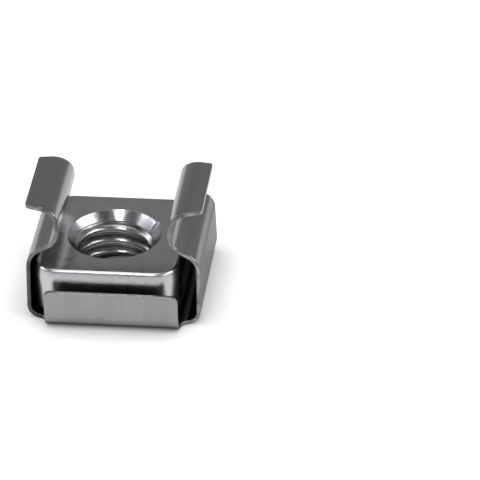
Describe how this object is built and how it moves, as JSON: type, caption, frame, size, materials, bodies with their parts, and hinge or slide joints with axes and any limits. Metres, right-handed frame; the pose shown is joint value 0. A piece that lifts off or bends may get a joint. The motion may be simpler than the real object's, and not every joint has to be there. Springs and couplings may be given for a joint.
{
  "type": "rack cage nut",
  "caption": "Square nut with a countersunk thread, trapped loosely in a folded spring-steel cage whose two lipped arms clip into the square hole of a rack rail.",
  "frame": {"origin": "centre of the cage's underside", "axes": "+Z along the thread, from the base towards the spring arms; X across the side walls; Y from end tab to end tab"},
  "size_m": [0.0128, 0.013, 0.0085],
  "materials": {
    "cage_steel": "satin plated spring steel",
    "nut_steel": "bright plated steel"
  },
  "bodies": {
    "root": {"spring_cage": "cage_steel", "square_nut": "nut_steel"}
  },
  "joints": []
}
